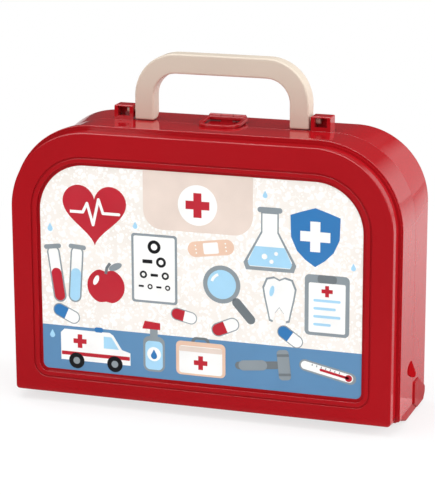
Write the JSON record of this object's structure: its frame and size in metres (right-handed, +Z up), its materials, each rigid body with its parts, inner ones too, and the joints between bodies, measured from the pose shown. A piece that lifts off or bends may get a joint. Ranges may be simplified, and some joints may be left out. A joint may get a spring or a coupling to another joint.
{
  "type": "toy doctor case",
  "caption": "Upright carry case with arched top, hinged front lid carrying a framed label, rocking U handle, top latch, corner feet and play instruments inside",
  "frame": {"origin": "On the ground, midway between the sides and midway between the front of the lid and the back of the rear shell.", "axes": "+X to the right seen from the front, front of the lid towards -Y, +Z up."},
  "size_m": [0.329, 0.1, 0.2858],
  "materials": {
    "shell": "glossy red polypropylene, injection moulded",
    "lid": "glossy red polypropylene, injection moulded",
    "label": "printed card under a clear gloss film",
    "handle": "satin beige plastic",
    "latch": "glossy red plastic",
    "foot": "glossy red plastic",
    "steel": "plain steel wire pin",
    "toy_blue": "glossy blue plastic",
    "toy_white": "glossy white plastic",
    "toy_grey": "glossy grey plastic",
    "toy_red": "glossy red plastic",
    "toy_black": "black plastic",
    "toy_clear": "clear styrene",
    "liquid_blue": "light blue translucent plastic",
    "cloth": "folded cotton gauze",
    "plaster": "woven plaster strip"
  },
  "bodies": {
    "case": {"body_frame": "shell", "rear_shell": "shell", "hinge_pin_left": "steel", "hinge_pin_right": "steel", "latch_pin": "steel", "foot_left": "foot", "foot_right": "foot", "toy_phone": "toy_grey", "drip_bag": "liquid_blue", "thermometer": "toy_grey", "hammer_head": "toy_grey", "hammer_handle": "toy_grey", "otoscope_handle": "toy_grey", "otoscope_head": "toy_grey", "stethoscope_headset": "toy_grey", "stethoscope_chestpiece": "toy_grey", "scissor_blade_back": "toy_blue", "scissor_rivet": "steel", "syringe_barrel": "toy_clear", "needle": "toy_grey", "medicine_jar": "toy_red", "medicine_jar_cap": "toy_white", "glasses": "toy_red", "cloth_bandage": "cloth", "plaster_strips": "plaster", "cuff_band": "toy_grey", "cuff_gauge": "toy_grey", "cuff_bulb": "toy_black"},
    "lid": {"front_lid": "lid", "label_card": "label"},
    "handle": {"carry_handle": "handle"},
    "latch": {"latch": "latch"},
    "plunger": {"syringe_plunger": "toy_red"},
    "scissor_half": {"scissor_blade_front": "toy_blue"}
  },
  "joints": [
    {"name": "lid_hinge", "type": "hinge", "parent": "case", "child": "lid", "pos_m": [0, -0.0405, 0.0122], "axis": [1, 0, 0], "range_deg": [0, 90]},
    {"name": "handle_swing", "type": "hinge", "parent": "case", "child": "handle", "pos_m": [0, 0.01665, 0.2372], "axis": [1, 0, 0], "range_deg": [-90, 5]},
    {"name": "latch_lift", "type": "hinge", "parent": "case", "child": "latch", "pos_m": [0, 0.028, 0.2328], "axis": [-1, 0, 0], "range_deg": [0, 100]},
    {"name": "plunger_slide", "type": "slide", "parent": "case", "child": "plunger", "axis": [1, 0, 0], "range_m": [0, 0.028]},
    {"name": "scissor_open", "type": "hinge", "parent": "case", "child": "scissor_half", "pos_m": [0.11715, 0.0426, 0.0592], "axis": [0, -1, 0], "range_deg": [0, 24]}
  ]
}
